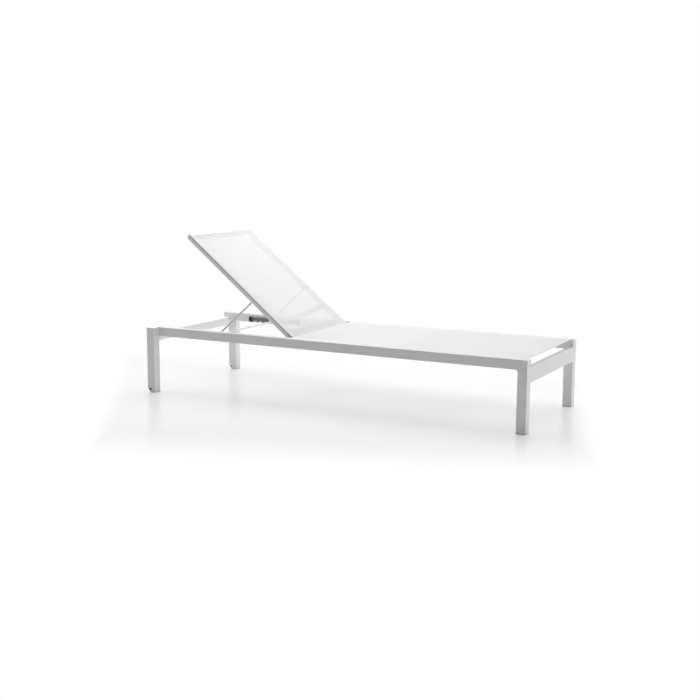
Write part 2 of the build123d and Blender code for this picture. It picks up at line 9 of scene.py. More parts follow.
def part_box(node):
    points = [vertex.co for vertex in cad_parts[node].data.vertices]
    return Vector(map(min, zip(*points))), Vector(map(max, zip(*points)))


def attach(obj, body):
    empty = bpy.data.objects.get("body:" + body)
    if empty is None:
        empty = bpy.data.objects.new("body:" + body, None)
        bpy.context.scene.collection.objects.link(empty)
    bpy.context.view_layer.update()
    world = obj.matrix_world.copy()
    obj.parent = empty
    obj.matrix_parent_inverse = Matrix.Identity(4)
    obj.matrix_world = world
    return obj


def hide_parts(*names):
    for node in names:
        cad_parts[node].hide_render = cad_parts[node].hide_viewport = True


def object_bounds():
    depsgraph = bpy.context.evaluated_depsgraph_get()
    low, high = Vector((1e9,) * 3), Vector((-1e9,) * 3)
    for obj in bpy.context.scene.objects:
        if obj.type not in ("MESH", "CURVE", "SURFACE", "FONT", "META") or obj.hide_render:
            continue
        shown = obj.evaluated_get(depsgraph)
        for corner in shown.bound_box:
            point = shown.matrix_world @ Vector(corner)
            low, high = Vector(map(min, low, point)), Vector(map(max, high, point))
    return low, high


# Sun lounger: a powder-coated frame with two mesh slings. Metres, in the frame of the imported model.
# Right is the side towards the camera, -Y; the head end is -X.

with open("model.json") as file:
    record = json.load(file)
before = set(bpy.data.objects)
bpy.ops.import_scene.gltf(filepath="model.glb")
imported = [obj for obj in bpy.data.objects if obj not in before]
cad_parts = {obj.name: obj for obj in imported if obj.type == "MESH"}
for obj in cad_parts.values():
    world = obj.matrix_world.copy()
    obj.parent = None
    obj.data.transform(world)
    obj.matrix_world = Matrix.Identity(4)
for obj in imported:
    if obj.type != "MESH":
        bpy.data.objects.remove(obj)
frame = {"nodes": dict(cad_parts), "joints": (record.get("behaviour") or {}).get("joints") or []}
cad_low, cad_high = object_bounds()
nodes = frame["nodes"]
random.seed(11)

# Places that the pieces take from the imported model
joints = {joint["name"]: joint for joint in frame["joints"]}
HINGE = Vector(joints["backrest_tilt"]["pos_m"])
REST_ANGLE = -math.radians(joints["backrest_tilt"]["range_deg"][0])
SIDES = {"right": -1.0, "left": 1.0}

# The slings: cloth, the places of their edges in the frame's section, and their ends along X
CLOTH = 0.0002
SEAT_TOP = 0.3298
SEAT_EDGE_Y = 0.3165
SEAT_EDGE_Z = 0.3263
SEAT_X0, SEAT_X1 = -0.2015, 0.986
SEAT_SAG = 0.0035
BACK_EDGE_Y = 0.2810
BACK_CORD_Y = 0.2779
BACK_CORD_Z = 0.3215
BACK_X0, BACK_X1 = -0.9860, -0.2110
BACK_HEM_X1 = -0.2390
BACK_SAG = 0.0040
FOLD_RADIUS = 0.0016
HEM_DEPTH = 0.016
POCKET_WIDTH = 0.018
YARN_PITCH = 0.0019


def raised(point):
    """Turns a point of the flat backrest up to its rest angle about the hinge."""
    dx, dz = point.x - HINGE.x, point.z - HINGE.z
    c, s = math.cos(REST_ANGLE), math.sin(REST_ANGLE)
    return Vector((HINGE.x + dx * c + dz * s, point.y, HINGE.z - dx * s + dz * c))


# Materials


class Shader:
    """A material's node tree, with short calls for the nodes that the finishes share."""

    def __init__(self, name):
        self.material = bpy.data.materials.new(name)
        self.material.use_nodes = True
        self.tree = self.material.node_tree
        self.tree.nodes.clear()
        self.output = self.tree.nodes.new("ShaderNodeOutputMaterial")
        self.bsdf = self.tree.nodes.new("ShaderNodeBsdfPrincipled")
        self.link(self.bsdf.outputs[0], self.output.inputs["Surface"])

    def link(self, source, target):
        self.tree.links.new(source, target)

    def node(self, kind, **settings):
        made = self.tree.nodes.new("ShaderNode" + kind)
        for key, value in settings.items():
            setattr(made, key, value)
        return made

    def feed(self, socket, value):
        if isinstance(value, bpy.types.NodeSocket):
            self.link(value, socket)
        else:
            socket.default_value = value

    def math(self, operation, a, b=0.0, c=None, clamp=False):
        made = self.node("Math", operation=operation, use_clamp=clamp)
        self.feed(made.inputs[0], a)
        self.feed(made.inputs[1], b)
        if c is not None:
            self.feed(made.inputs[2], c)
        return made.outputs[0]

    def noise(self, coordinates, scale, detail, roughness=0.5):
        made = self.node("TexNoise")
        self.link(coordinates, made.inputs["Vector"])
        made.inputs["Scale"].default_value = scale
        made.inputs["Detail"].default_value = detail
        made.inputs["Roughness"].default_value = roughness
        return made.outputs["Fac"]

    def ramp(self, value, low, high, from_low=0.0, from_high=1.0, smooth=False):
        made = self.node("MapRange", clamp=True)
        if smooth:
            made.interpolation_type = "SMOOTHSTEP"
        self.feed(made.inputs["Value"], value)
        made.inputs["From Min"].default_value = from_low
        made.inputs["From Max"].default_value = from_high
        self.feed(made.inputs["To Min"], low)
        self.feed(made.inputs["To Max"], high)
        return made.outputs["Result"]

    def mix(self, factor, a, b):
        made = self.node("Mix", data_type="RGBA")
        self.feed(made.inputs[0], factor)
        self.feed(made.inputs[6], a)
        self.feed(made.inputs[7], b)
        return made.outputs[2]

    def blend(self, factor, a, b):
        made = self.node("MixShader")
        self.feed(made.inputs[0], factor)
        self.link(a, made.inputs[1])
        self.link(b, made.inputs[2])
        return made.outputs[0]

    def bump(self, height, distance, strength, normal=None):
        made = self.node("Bump")
        self.link(height, made.inputs["Height"])
        made.inputs["Distance"].default_value = distance
        made.inputs["Strength"].default_value = strength
        if normal is not None:
            self.link(normal, made.inputs["Normal"])
        return made.outputs["Normal"]

    def object_space(self):
        return self.node("TexCoord").outputs["Object"]

    def set(self, **values):
        for key, value in values.items():
            self.feed(self.bsdf.inputs[key.replace("_", " ")], value)


def grey(value, warmth=0.0):
    """A grey's colour, a little warmer than neutral where warmth is above 0."""
    return (value * (1 + warmth), value, value * (1 - warmth), 1.0)


WHITE = (1.0, 1.0, 1.0, 1.0)


def coat_material(name, tone, rough_low=0.36, rough_high=0.5):
    """Powder coat on aluminium: fine orange peel, a slow drift of tone, and a patchy darkening within 6 cm of the
    floor.
    """
    s = Shader(name)
    place = s.object_space()
    drift = s.noise(place, 2.4, 3.0)
    colour = s.mix(drift, grey(tone * 0.975), grey(min(tone * 1.02, 1.0)))
    split = s.node("SeparateXYZ")
    s.link(place, split.inputs[0])
    # Darker and a little warmer in patches within 6 cm of the floor
    low = s.ramp(split.outputs["Z"], 1.0, 0.0, 0.0, 0.06, smooth=True)
    low_darkening = s.math("MULTIPLY", low, s.ramp(s.noise(place, 70.0, 4.0), 0.0, 0.35, 0.35, 0.75))
    colour = s.mix(low_darkening, colour, grey(tone * 0.72, 0.02))
    peel = s.noise(place, 620.0, 2.0)
    fine = s.noise(place, 2600.0, 1.0)
    normal = s.bump(peel, 0.00012, 0.5)
    normal = s.bump(fine, 0.00003, 0.4, normal)
    rough = s.ramp(s.noise(place, 45.0, 4.0), rough_low, rough_high, 0.3, 0.7)
    s.set(Base_Color=colour, Roughness=rough, Normal=normal)
    return s.material


def weave_material(name, tone, open_share, valley_shade, passing):
    """Coated yarn mesh: a plain weave of round yarns with open windows between them. open_share is the windows' share
    of the cloth, valley_shade dims the yarns' low parts as painted shade, and passing is the share of light that goes
    through a yarn."""
    s = Shader(name)
    uv = s.node("UVMap", uv_map="cloth").outputs[0]
    split = s.node("SeparateXYZ")
    s.link(uv, split.inputs[0])
    across = s.math("DIVIDE", split.outputs["X"], YARN_PITCH)
    along = s.math("DIVIDE", split.outputs["Y"], YARN_PITCH)
    # The distance from a yarn's middle, 0, to the gap beside it, 1, for each direction
    gaps = [
        s.math("MULTIPLY", s.math("ABSOLUTE", s.math("SUBTRACT", s.math("FRACT", turns), 0.5)), 2.0)
        for turns in (across, along)
    ]
    edge, blur = 1.0 - math.sqrt(open_share), 0.06
    window = s.math("MULTIPLY", *[s.ramp(gap, 0.0, 1.0, edge - blur, edge + blur, smooth=True) for gap in gaps])
    over = s.math("MODULO", s.math("ADD", s.math("FLOOR", across), s.math("FLOOR", along)), 2.0)
    over = s.math("ABSOLUTE", over)
    # Each yarn's round back, high where it passes over the other and lower by the crimp where it passes under
    crimp = 0.45
    backs = [s.math("SQRT", s.math("SUBTRACT", 1.0, s.math("POWER", gap, 2.0), clamp=True)) for gap in gaps]
    lift = s.math("MULTIPLY_ADD", over, crimp, 1.0 - crimp)
    dip = s.math("MULTIPLY_ADD", over, -crimp, 1.0)
    height = s.math("MAXIMUM", s.math("MULTIPLY", backs[0], lift), s.math("MULTIPLY", backs[1], dip))
    place = s.object_space()
    drift = s.noise(place, 3.5, 3.0)
    yarn = s.noise(uv, 900.0, 2.0)
    colour = s.mix(drift, grey(tone * 0.985), grey(min(tone * 1.012, 1.0)))
    # Painted shade: the yarns' low parts are darkened towards the weave's dips
    colour = s.mix(s.ramp(height, 0.55, 0.0, 0.3, 0.95), colour, grey(tone * valley_shade))
    colour = s.mix(s.ramp(yarn, 0.0, 0.12, 0.4, 0.8), colour, grey(tone * 0.9))
    normal = s.bump(height, 0.00022, 0.7)
    rough = s.ramp(yarn, 0.52, 0.68, 0.3, 0.7)
    s.set(Base_Color=colour, Roughness=rough, Normal=normal)
    lit_through = s.node("BsdfTranslucent")
    s.feed(lit_through.inputs["Color"], colour)
    s.feed(lit_through.inputs["Normal"], normal)
    yarns = s.blend(passing, s.bsdf.outputs[0], lit_through.outputs[0])
    s.link(s.blend(window, yarns, s.node("BsdfTransparent").outputs[0]), s.output.inputs["Surface"])
    return s.material


def scuffs_and_grain(s, place, grain):
    """Slight scuffs, as a factor, and the fine spark-eroded grain of a mould, as a normal."""
    scuff = s.ramp(s.noise(place, 130.0, 5.0, 0.65), 0.0, 0.5, 0.52, 0.75)
    return scuff, s.bump(s.noise(place, grain, 2.0), 0.00008, 0.6)


def moulded_material(name, tone, rough, grain=900.0):
    """Moulded plastic or rubber."""
    s = Shader(name)
    scuff, normal = scuffs_and_grain(s, s.object_space(), grain)
    colour = s.mix(scuff, grey(tone), grey(tone * 1.5 + 0.012))
    s.set(Base_Color=colour, Roughness=s.ramp(scuff, rough - 0.08, rough + 0.12), Normal=normal)
    return s.material


def channel_material(name, tone, shade_tone, shade_end):
    """Moulded plastic whose solid block, up to shade_end along X, is painted near black as shade, darker than its open
    channel.
    """
    s = Shader(name)
    place = s.object_space()
    split = s.node("SeparateXYZ")
    s.link(place, split.inputs[0])
    scuff, normal = scuffs_and_grain(s, place, 900.0)
    channel = s.mix(scuff, grey(tone), grey(tone * 1.4))
    in_shade = s.math("LESS_THAN", split.outputs["X"], shade_end)
    colour = s.mix(in_shade, channel, grey(shade_tone))
    s.set(Base_Color=colour, Roughness=s.ramp(scuff, 0.5, 0.68), Normal=normal)
    return s.material


def metal_material(name, tone, rough=0.3):
    """Stainless steel with fine turned lines."""
    s = Shader(name)
    place = s.object_space()
    stretch = s.node("Mapping")
    stretch.inputs["Scale"].default_value = (1.0, 0.06, 1.0)
    s.link(place, stretch.inputs["Vector"])
    lines = s.noise(stretch.outputs[0], 900.0, 2.0)
    colour = s.mix(s.noise(place, 25.0, 3.0), grey(tone * 0.9), grey(tone))
    normal = s.bump(lines, 0.00002, 0.5)
    s.set(Base_Color=colour, Metallic=1.0, Roughness=s.ramp(lines, rough - 0.07, rough + 0.1), Normal=normal)
    return s.material


def thread_material(name, tone):
    """Twisted polyester thread."""
    s = Shader(name)
    place = s.object_space()
    twist = s.noise(place, 3200.0, 2.0)
    colour = s.mix(twist, grey(tone * 0.86), grey(tone))
    s.set(Base_Color=colour, Roughness=0.6, Normal=s.bump(twist, 0.00006, 0.7))
    return s.material


# One white powder coat in several tones: the backrest's and the bars' lighter tones are painted light, and the rods'
# darker tone is painted shade.
COAT = coat_material("white_powder_coat", 0.80)
COAT_PAINTED_LIGHT_BACKREST = coat_material("white_powder_coat_backrest_painted_light", 0.94)
COAT_PAINTED_LIGHT_BARS = coat_material("white_powder_coat_bars_painted_light", 0.92)
COAT_PAINTED_SHADE_RODS = coat_material("white_powder_coat_rods_painted_shade", 0.78, 0.34, 0.46)
WELD = coat_material("white_powder_coat_welds", 0.78, 0.4, 0.52)
MESH = weave_material("white_sling_mesh", 0.925, 0.32, 0.97, 0.12)
HEM = weave_material("white_sling_mesh_double", 0.93, 0.05, 0.97, 0.08)
# The edge band's lower tone and darker dips are painted shade of the cloth where it wraps down the tube's side
BAND_PAINTED_SHADE = weave_material("white_sling_edge_band_painted_shade", 0.88, 0.02, 0.9, 0.05)
THREAD = thread_material("white_sewing_thread", 0.97)
KEDER = moulded_material("grey_edge_cord", 0.42, 0.5, 1400.0)
BLACK = moulded_material("black_moulded_plastic", 0.030, 0.5)
SPACER = moulded_material("black_hinge_spacer", 0.012, 0.8)
GREY = moulded_material("grey_moulded_plastic", 0.20, 0.5)
PALE = moulded_material("pale_grey_moulded_feet", 0.46, 0.5)
# Painted shade: the rack housing's first 16 mm at its head end is near black
RACK_SHADE_LENGTH = 0.016
RACK_SHADE_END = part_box("right_rack_housing")[0].x + RACK_SHADE_LENGTH
HOUSING = channel_material("dark_grey_rack_channel", 0.26, 0.012, RACK_SHADE_END)
RUBBER = moulded_material("black_wheel_rubber", 0.026, 0.7, 1500.0)
STEEL = metal_material("stainless_steel", 0.62)
DARK_STEEL = metal_material("blackened_steel", 0.07, 0.5)

FINISHES = (
    (("side_rail", "rail_head_cap", "rail_foot_cap", "head_leg", "head_leg_cap", "foot_leg"), COAT),
    (("back_side_tube", "back_top_cap", "back_tail_cap"), COAT_PAINTED_LIGHT_BACKREST),
    (("prop_arm", "rack"), COAT_PAINTED_SHADE_RODS),
    (("head_foot", "foot_glide"), PALE),
    (("prop_sleeve", "prop_spacer", "wheel_pin"), BLACK),
    (("hinge_spacer",), SPACER),
    (("rack_housing",), HOUSING),
    (("hinge_bush",), GREY),
    (("seat_edge_cord", "back_edge_cord"), KEDER),
    (("hinge_bolt", "prop_bolt"), STEEL),
    (("wheel",), RUBBER),
)
SINGLE_FINISHES = {
    "head_cross_rail": COAT_PAINTED_LIGHT_BARS, "foot_cross_rail": COAT, "hinge_spreader": COAT, "middle_spreader": COAT,
    "back_top_tube": COAT, "back_bottom_tube": COAT, "back_bowed_tube": COAT_PAINTED_SHADE_RODS, "prop_bar": COAT_PAINTED_LIGHT_BARS,
    "rack_screws": DARK_STEEL, "channel_plugs": GREY, "seat_sling": MESH, "back_sling": MESH,
}
for names, material in FINISHES:
    for name in names:
        for side in SIDES:
            for holder in nodes[side + "_" + name].material_slots:
                holder.material = material
for name, material in SINGLE_FINISHES.items():
    for holder in nodes[name].material_slots:
        holder.material = material


# Mesh making


def make_piece(name, points, faces, material, body, uvs=None, smooth=True, doubled=None):
    """Makes one mesh piece that rides on a body; doubled tells the faces where the cloth lies in two layers."""
    mesh = bpy.data.meshes.new(name)
    mesh.from_pydata([tuple(p) for p in points], [], faces)
    if uvs is not None:
        layer = mesh.uv_layers.new(name="cloth")
        for loop in mesh.loops:
            layer.data[loop.index].uv = uvs[loop.vertex_index]
    mesh.materials.append(material)
    if doubled is not None:
        mesh.materials.append(HEM)
        for polygon in mesh.polygons:
            polygon.material_index = int(doubled(polygon.index))
    mesh.validate()
    mesh.polygons.foreach_set("use_smooth", [smooth] * len(mesh.polygons))
    mesh.update()
    made = bpy.data.objects.new(name, mesh)
    bpy.context.scene.collection.objects.link(made)
    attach(made, body)
    return made


class Build:
    """Points and faces that grow until they become one piece."""

    def __init__(self):
        self.points = []
        self.faces = []

    def add(self, points, faces):
        start = len(self.points)
        self.points += points
        self.faces += [tuple(start + i for i in face) for face in faces]

    def sweep(self, path, radii, closed=False):
        """A six-sided tube along a path, with a radius for each of its points."""
        sides = 6
        count = len(path)
        rings = []
        side_axis = None
        for i, point in enumerate(path):
            ahead = path[(i + 1) % count] if closed or i < count - 1 else point
            behind = path[i - 1] if closed or i > 0 else point
            direction = (ahead - behind).normalized()
            if side_axis is None:
                helper = Vector((0, 0, 1)) if abs(direction.z) < 0.9 else Vector((1, 0, 0))
                side_axis = direction.cross(helper).normalized()
            side_axis = (side_axis - direction * side_axis.dot(direction)).normalized()
            up_axis = direction.cross(side_axis)
            ring = []
            for k in range(sides):
                turn = 2 * math.pi * k / sides
                ring.append(point + radii[i] * (math.cos(turn) * side_axis + math.sin(turn) * up_axis))
            rings.append(ring)
        points = [p for ring in rings for p in ring]
        faces = []
        last = count if closed else count - 1
        for i in range(last):
            a, b = i * sides, ((i + 1) % count) * sides
            for k in range(sides):
                n = (k + 1) % sides
                faces.append((a + k, a + n, b + n, b + k))
        if not closed:
            faces.append(tuple(reversed(range(sides))))
            faces.append(tuple((count - 1) * sides + k for k in range(sides)))
        self.add(points, faces)

    def lathe(self, profile, origin, axis, sides):
        """A turned shape: the profile holds (along, radius) pairs, and its first and last radius may be 0."""
        axis = Vector(axis).normalized()
        helper = Vector((0, 0, 1)) if abs(axis.z) < 0.9 else Vector((1, 0, 0))
        u = axis.cross(helper).normalized()
        v = axis.cross(u)
        points = []
        starts = []
        for along, radius in profile:
            starts.append((len(points), radius))
            middle = origin + axis * along
            if radius <= 0:
                points.append(middle)
                continue
            for k in range(sides):
                turn = 2 * math.pi * k / sides
                points.append(middle + radius * (math.cos(turn) * u + math.sin(turn) * v))
        faces = []
        for (a, radius_a), (b, radius_b) in zip(starts, starts[1:]):
            for k in range(sides):
                n = (k + 1) % sides
                if radius_a <= 0 and radius_b <= 0:
                    continue
                if radius_a <= 0:
                    faces.append((a, b + k, b + n))
                elif radius_b <= 0:
                    faces.append((a + k, b, a + n))
                else:
                    faces.append((a + k, b + k, b + n, a + n))
        self.add(points, faces)

    def piece(self, name, material, body, smooth=True):
        return make_piece(name, self.points, self.faces, material, body, smooth=smooth)


# Camera, light and floor


def aim(thing, place, target):
    """Puts a lamp at a place and points it at a target."""
    thing.location = Vector(place)
    thing.rotation_euler = (Vector(target) - Vector(place)).to_track_quat("-Z", "Y").to_euler()


CAMERA_PLACE = Vector((2.6631, -5.1604, 1.2172))
CAMERA_YAW, CAMERA_PITCH, CAMERA_ROLL = 0.4837, -0.1665, 0.0062
FOCAL_PIXELS, IMAGE_PIXELS, SENSOR = 1187.42, 700.0, 36.0

camera_data = bpy.data.cameras.new("camera")
camera_data.sensor_width = SENSOR
camera_data.lens = SENSOR * FOCAL_PIXELS / IMAGE_PIXELS
camera = bpy.data.objects.new("camera", camera_data)
bpy.context.scene.collection.objects.link(camera)
bpy.context.scene.camera = camera
forward = Vector((
    -math.sin(CAMERA_YAW) * math.cos(CAMERA_PITCH),
    math.cos(CAMERA_YAW) * math.cos(CAMERA_PITCH),
    math.sin(CAMERA_PITCH),
))
level_right = forward.cross(Vector((0, 0, 1))).normalized()
level_up = level_right.cross(forward)
view_right = math.cos(CAMERA_ROLL) * level_right + math.sin(CAMERA_ROLL) * level_up
view_up = -math.sin(CAMERA_ROLL) * level_right + math.cos(CAMERA_ROLL) * level_up
turned = Matrix((view_right, view_up, -forward)).transposed().to_4x4()
camera.matrix_world = Matrix.Translation(CAMERA_PLACE) @ turned

# Soft boxes: name, place, target, width, height, watts
LAMPS = (
    ("top_box", (-1.6, 0.6, 2.3), (-0.5, 0.3, 0.3), 2.6, 3.0, 53.0),
    ("high_box", (0.6, 0.9, 2.6), (0.5, 0.2, 0.3), 2.6, 2.6, 37.0),
    ("head_box", (-2.4, -0.5, 1.3), (-0.8, 0.2, 0.3), 1.4, 1.4, 8.0),
    ("foot_box", (4.2, 0.3, 1.25), (0.0, 0.3, 1.05), 4.5, 2.4, 43.0),
    ("back_box", (0.0, 4.4, 1.35), (0.0, 0.0, 1.15), 6.0, 2.6, 105.0),
)
WORLD_LEVEL = 0.16
for name, place, target, width, height, watts in LAMPS:
    data = bpy.data.lights.new(name, "AREA")
    data.shape = "RECTANGLE"
    data.size, data.size_y, data.energy = width, height, watts
    lamp = bpy.data.objects.new(name, data)
    bpy.context.scene.collection.objects.link(lamp)
    lamp.visible_camera = False
    lamp.visible_glossy = False
    aim(lamp, place, target)


def seen_rays(tree):
    """1 for the rays that show the background: the camera's own, and those in gloss and glass."""
    path = tree.nodes.new("ShaderNodeLightPath")
    seen = path.outputs["Is Camera Ray"]
    for kind in ("Is Glossy Ray", "Is Transmission Ray"):
        either = tree.nodes.new("ShaderNodeMath")
        either.operation = "MAXIMUM"
        tree.links.new(seen, either.inputs[0])
        tree.links.new(path.outputs[kind], either.inputs[1])
        seen = either.outputs[0]
    return seen


world = bpy.data.worlds.new("studio")
bpy.context.scene.world = world
world.use_nodes = True
tree = world.node_tree
tree.nodes.clear()
ambient = tree.nodes.new("ShaderNodeBackground")
ambient.inputs["Color"].default_value = (WORLD_LEVEL, WORLD_LEVEL, WORLD_LEVEL, 1.0)
white = tree.nodes.new("ShaderNodeBackground")
white.inputs["Color"].default_value = WHITE
choice = tree.nodes.new("ShaderNodeMixShader")
world_output = tree.nodes.new("ShaderNodeOutputWorld")
tree.links.new(seen_rays(tree), choice.inputs[0])
tree.links.new(ambient.outputs[0], choice.inputs[1])
tree.links.new(white.outputs[0], choice.inputs[2])
tree.links.new(choice.outputs[0], world_output.inputs[0])


# The part of the floor that isn't plain white, turned about Z to lie square to the view, in metres. PATCH_MIDDLE and
# PATCH_HALF are its middle and half width across, and PATCH_SPREAD the half width's growth with depth. PATCH_LEFT and
# PATCH_RIGHT say between which shares of the half width it fades to white, and PATCH_FRONT and PATCH_BACK between which
# depths, on slanting lines. PATCH_WHITE is the share of white that is mixed in all over it. The floor's tone goes
# from FLOOR_FRONT_TONE to FLOOR_BACK_SHADED_TONE over the depths of FLOOR_SHADE_REACH, darker towards the back as
# painted shade.
PATCH_TURN = 0.4837
PATCH_MIDDLE, PATCH_HALF, PATCH_SPREAD = -0.152, 1.168, 0.134
PATCH_LEFT, PATCH_RIGHT = (-0.95, -0.86), (1.0, 1.12)
PATCH_FRONT, PATCH_BACK = (-1.348, -0.77), (0.40, 1.01)
FRONT_SLANT, BACK_SLANT = 0.118, 0.35
PATCH_WHITE = 0.30
FLOOR_FRONT_TONE, FLOOR_BACK_SHADED_TONE, FLOOR_SHADE_REACH = 0.985, 0.66, (-0.9, 1.0)


def floor_material():
    """A pale glossy studio floor, darker towards the back as painted shade, that turns to plain white away from the
    lounger.
    """
    s = Shader("pale_floor")
    turned = s.node("Mapping")
    turned.inputs["Rotation"].default_value = (0.0, 0.0, -PATCH_TURN)
    s.link(s.object_space(), turned.inputs["Vector"])
    split = s.node("SeparateXYZ")
    s.link(turned.outputs[0], split.inputs[0])
    deep = split.outputs["Y"]
    half = s.math("MULTIPLY_ADD", deep, PATCH_SPREAD, PATCH_HALF)
    wide = s.math("DIVIDE", s.math("SUBTRACT", split.outputs["X"], PATCH_MIDDLE), half)
    front = s.math("MULTIPLY_ADD", split.outputs["X"], FRONT_SLANT, deep)
    back = s.math("MULTIPLY_ADD", split.outputs["X"], BACK_SLANT, deep)
    away = s.ramp(wide, 1.0, 0.0, *PATCH_LEFT, smooth=True)
    away = s.math("MAXIMUM", away, s.ramp(wide, 0.0, 1.0, *PATCH_RIGHT, smooth=True))
    away = s.math("MAXIMUM", away, s.ramp(front, 1.0, 0.0, *PATCH_FRONT, smooth=True))
    away = s.math("MAXIMUM", away, s.ramp(back, 0.0, 1.0, *PATCH_BACK, smooth=True))
    # Painted shade: the floor's tone darkens towards the back
    tone = s.mix(s.ramp(deep, 0.0, 1.0, *FLOOR_SHADE_REACH), grey(FLOOR_FRONT_TONE), grey(FLOOR_BACK_SHADED_TONE))
    s.set(Base_Color=tone, Roughness=0.25, Specular_IOR_Level=0.7)
    glow = s.node("Emission")
    glow.inputs["Color"].default_value = WHITE
    away = s.math("MULTIPLY", s.ramp(away, PATCH_WHITE, 1.0), seen_rays(s.tree))
    s.link(s.blend(away, s.bsdf.outputs[0], glow.outputs[0]), s.output.inputs["Surface"])
    return s.material


FLOOR_SIZE = 9.0
floor_mesh = bpy.data.meshes.new("floor")
floor_corners = [(x * FLOOR_SIZE, y * FLOOR_SIZE, 0) for x, y in ((-1, -1), (1, -1), (1, 1), (-1, 1))]
floor_mesh.from_pydata(floor_corners, [], [(0, 1, 2, 3)])
floor_mesh.materials.append(floor_material())
floor = bpy.data.objects.new("floor", floor_mesh)
bpy.context.scene.collection.objects.link(floor)
bpy.context.scene.view_settings.view_transform = "Standard"


# Slings


def arc(centre, radius, start, end, steps):
    """Points of a circle's arc in the section, with angles in degrees from +Y towards +Z."""
    found = []
    for i in range(steps + 1):
        turn = math.radians(start + (end - start) * i / steps)
        found.append((centre[0] + radius * math.cos(turn), centre[1] + radius * math.sin(turn)))
    return found


def mirrored_section(right_half, steps):
    """The whole section from its right half, which ends on the flat top, joined by even steps across."""
    last_y, top_z = right_half[-1]
    across = [(last_y + (-2 * last_y) * i / steps, top_z) for i in range(1, steps)]
    return right_half + across + [(-y, z) for y, z in reversed(right_half)]


def section_normals(section):
    """The normal at each point of a section, square to the line between its neighbours."""
    found = []
    for i in range(len(section)):
        y0, z0 = section[max(i - 1, 0)]
        y1, z1 = section[min(i + 1, len(section) - 1)]
        length = math.hypot(y1 - y0, z1 - z0)
        found.append((-(z1 - z0) / length, (y1 - y0) / length))
    return found


def running_lengths(section):
    """How far along the section each of its points lies."""
    found = [0.0]
    for (y0, z0), (y1, z1) in zip(section, section[1:]):
        found.append(found[-1] + math.hypot(y1 - y0, z1 - z0))
    return found


def two_layer_faces(wide, long, flipped=False):
    """The faces of a closed sheet: an upper grid of long rows of wide points, a lower one, and walls round the edge."""
    under = wide * long
    faces = []
    for i in range(long - 1):
        for k in range(wide - 1):
            a = i * wide + k
            faces.append((a, a + wide, a + wide + 1, a + 1))
            faces.append((under + a, under + a + 1, under + a + wide + 1, under + a + wide))
    for i in range(long - 1):
        a, b = i * wide, (i + 1) * wide
        faces.append((a, under + a, under + b, b))
        a, b = a + wide - 1, b + wide - 1
        faces.append((a, b, under + b, under + a))
    for k in range(wide - 1):
        faces.append((k, k + 1, under + k + 1, under + k))
        a = (long - 1) * wide + k
        faces.append((a, under + a, under + a + 1, a + 1))
    return [face[:1] + face[:0:-1] for face in faces] if flipped else faces


def cloth(name, section, stations, drop, place, material, body):
    """A thin closed sheet: a section of (y, z) points run along X, lowered by drop(x, y)."""
    normals = section_normals(section)
    lengths = running_lengths(section)
    points, uvs = [], []
    for layer in (0.5, -0.5):
        for x in stations:
            for (y, z), (ny, nz), run in zip(section, normals, lengths):
                offset = CLOTH * layer
                points.append(place(Vector((x, y + ny * offset, z + nz * offset - drop(x, y)))))
                uvs.append((run, x))
    wide, long = len(section), len(stations)
    under = wide * long
    faces = two_layer_faces(wide, long)
    edge_y = max(section)[0] - POCKET_WIDTH
    start, end = stations[0] + HEM_DEPTH, stations[-1] - HEM_DEPTH

    def doubled(index):
        """Whether a face lies in a side pocket or a hem, where the cloth is double."""
        spots = [corner % under for corner in faces[index]]
        y = sum(section[spot % wide][0] for spot in spots) / len(spots)
        x = sum(stations[spot // wide] for spot in spots) / len(spots)
        return abs(y) > edge_y or x < start or x > end

    doubled_test = doubled if material is MESH else None
    return make_piece(name, points, faces, material, body, uvs, doubled=doubled_test)


def even(start, end, count):
    """Evenly spaced values from start to end, both included."""
    return [start + (end - start) * i / count for i in range(count + 1)]


def hemmed(start, end, count):
    """Stations along the cloth, with one at the inner edge of each hem."""
    return [start] + even(start + HEM_DEPTH, end - HEM_DEPTH, count) + [end]


def smooth_step(value, low, high):
    """0 below low, 1 above high, and a smooth rise between them."""
    t = min(max((value - low) / (high - low), 0.0), 1.0)
    return t * t * (3 - 2 * t)


SEAT_FREE_Y, SEAT_END_RUN, SEAT_END_SHARE = 0.303, 0.22, 0.35
BACK_FREE_Y = 0.250
BACK_HEAD_RUN, BACK_TAIL_RUN = (-0.955, -0.80), (-0.37, -0.268)


def seat_drop(x, y):
    """The seat's slight sag between the rails, which is less at its two hems."""
    start, end = SEAT_X0, SEAT_X1
    ends = smooth_step(x, start, start + SEAT_END_RUN) * (1 - smooth_step(x, end - SEAT_END_RUN, end))
    across = max(0.0, 1 - (y / SEAT_FREE_Y) ** 2)
    return SEAT_SAG * (SEAT_END_SHARE + (1 - SEAT_END_SHARE) * ends) * across


def back_drop(x, y):
    """The backrest's sag between its tubes, none where it passes over the cross tubes."""
    ends = smooth_step(x, *BACK_HEAD_RUN) * (1 - smooth_step(x, *BACK_TAIL_RUN))
    across = max(0.0, 1 - (y / BACK_FREE_Y) ** 2)
    return BACK_SAG * ends * across


def still(x, y):
    """The drop of cloth that doesn't sag."""
    return 0.0


def as_is(point):
    """The place of what belongs to the frame, which isn't turned."""
    return point


SEAT_FLAT_Y = 0.312
seat_half = [(-SEAT_EDGE_Y, SEAT_EDGE_Z), (-SEAT_EDGE_Y, SEAT_TOP - FOLD_RADIUS)]
seat_half += arc((-SEAT_EDGE_Y + FOLD_RADIUS, SEAT_TOP - FOLD_RADIUS), FOLD_RADIUS, 180, 90, 5)[1:]
seat_half += [(-SEAT_FLAT_Y, SEAT_TOP), (-SEAT_EDGE_Y + POCKET_WIDTH, SEAT_TOP)]
seat_section = mirrored_section(seat_half, 44)
seat_cloth = cloth("seat_sheet", seat_section, hemmed(SEAT_X0, SEAT_X1, 94), seat_drop, as_is, MESH, "frame")
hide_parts("seat_sling")

